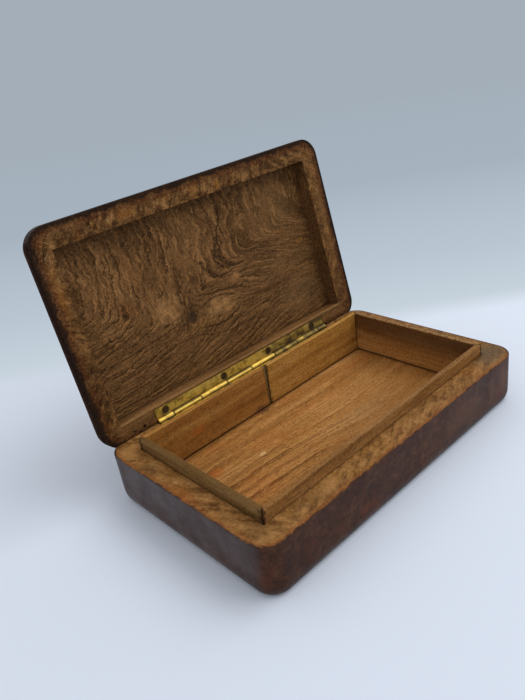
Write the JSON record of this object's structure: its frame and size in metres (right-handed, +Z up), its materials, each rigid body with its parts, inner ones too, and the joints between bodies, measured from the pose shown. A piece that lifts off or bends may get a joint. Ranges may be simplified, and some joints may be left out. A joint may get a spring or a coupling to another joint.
{
  "type": "desk box",
  "caption": "Low rectangular burr-wood desk box with rounded corners, a lipped tray lining and a hinged crowned lid.",
  "frame": {"origin": "middle of the base's flat underside, on the surface that the box stands on", "axes": "+X along the length of the box, the front to -Y and the hinge to +Y, +Z up"},
  "size_m": [0.18, 0.1378, 0.1299],
  "materials": {
    "burr_wood": "polished burr, dark outside, golden brown on the rims",
    "lining_wood": "plain straight-grained wood, waxed matt",
    "floor_wood": "plain straight-grained wood, worn satin",
    "hinge_brass": "tarnished strip brass",
    "screw_brass": "darkened screw heads"
  },
  "bodies": {
    "base": {"base_body": "burr_wood", "base_floor": "floor_wood", "liner_front": "lining_wood", "liner_left": "lining_wood", "liner_right": "lining_wood", "liner_back_left": "lining_wood", "liner_back_right": "lining_wood", "hinge_leaf_base": "hinge_brass", "hinge_pin": "hinge_brass", "base_screw_1": "screw_brass", "base_screw_2": "screw_brass", "base_screw_3": "screw_brass", "base_screw_4": "screw_brass"},
    "lid": {"lid_body": "burr_wood", "hinge_leaf_lid": "hinge_brass", "lid_screw_1": "screw_brass", "lid_screw_2": "screw_brass", "lid_screw_3": "screw_brass", "lid_screw_4": "screw_brass"}
  },
  "joints": [
    {"name": "lid_hinge", "type": "hinge", "parent": "base", "child": "lid", "pos_m": [0, 0.05165, 0.02655], "axis": [1, 0, 0], "range_deg": [0, 101.3]}
  ]
}
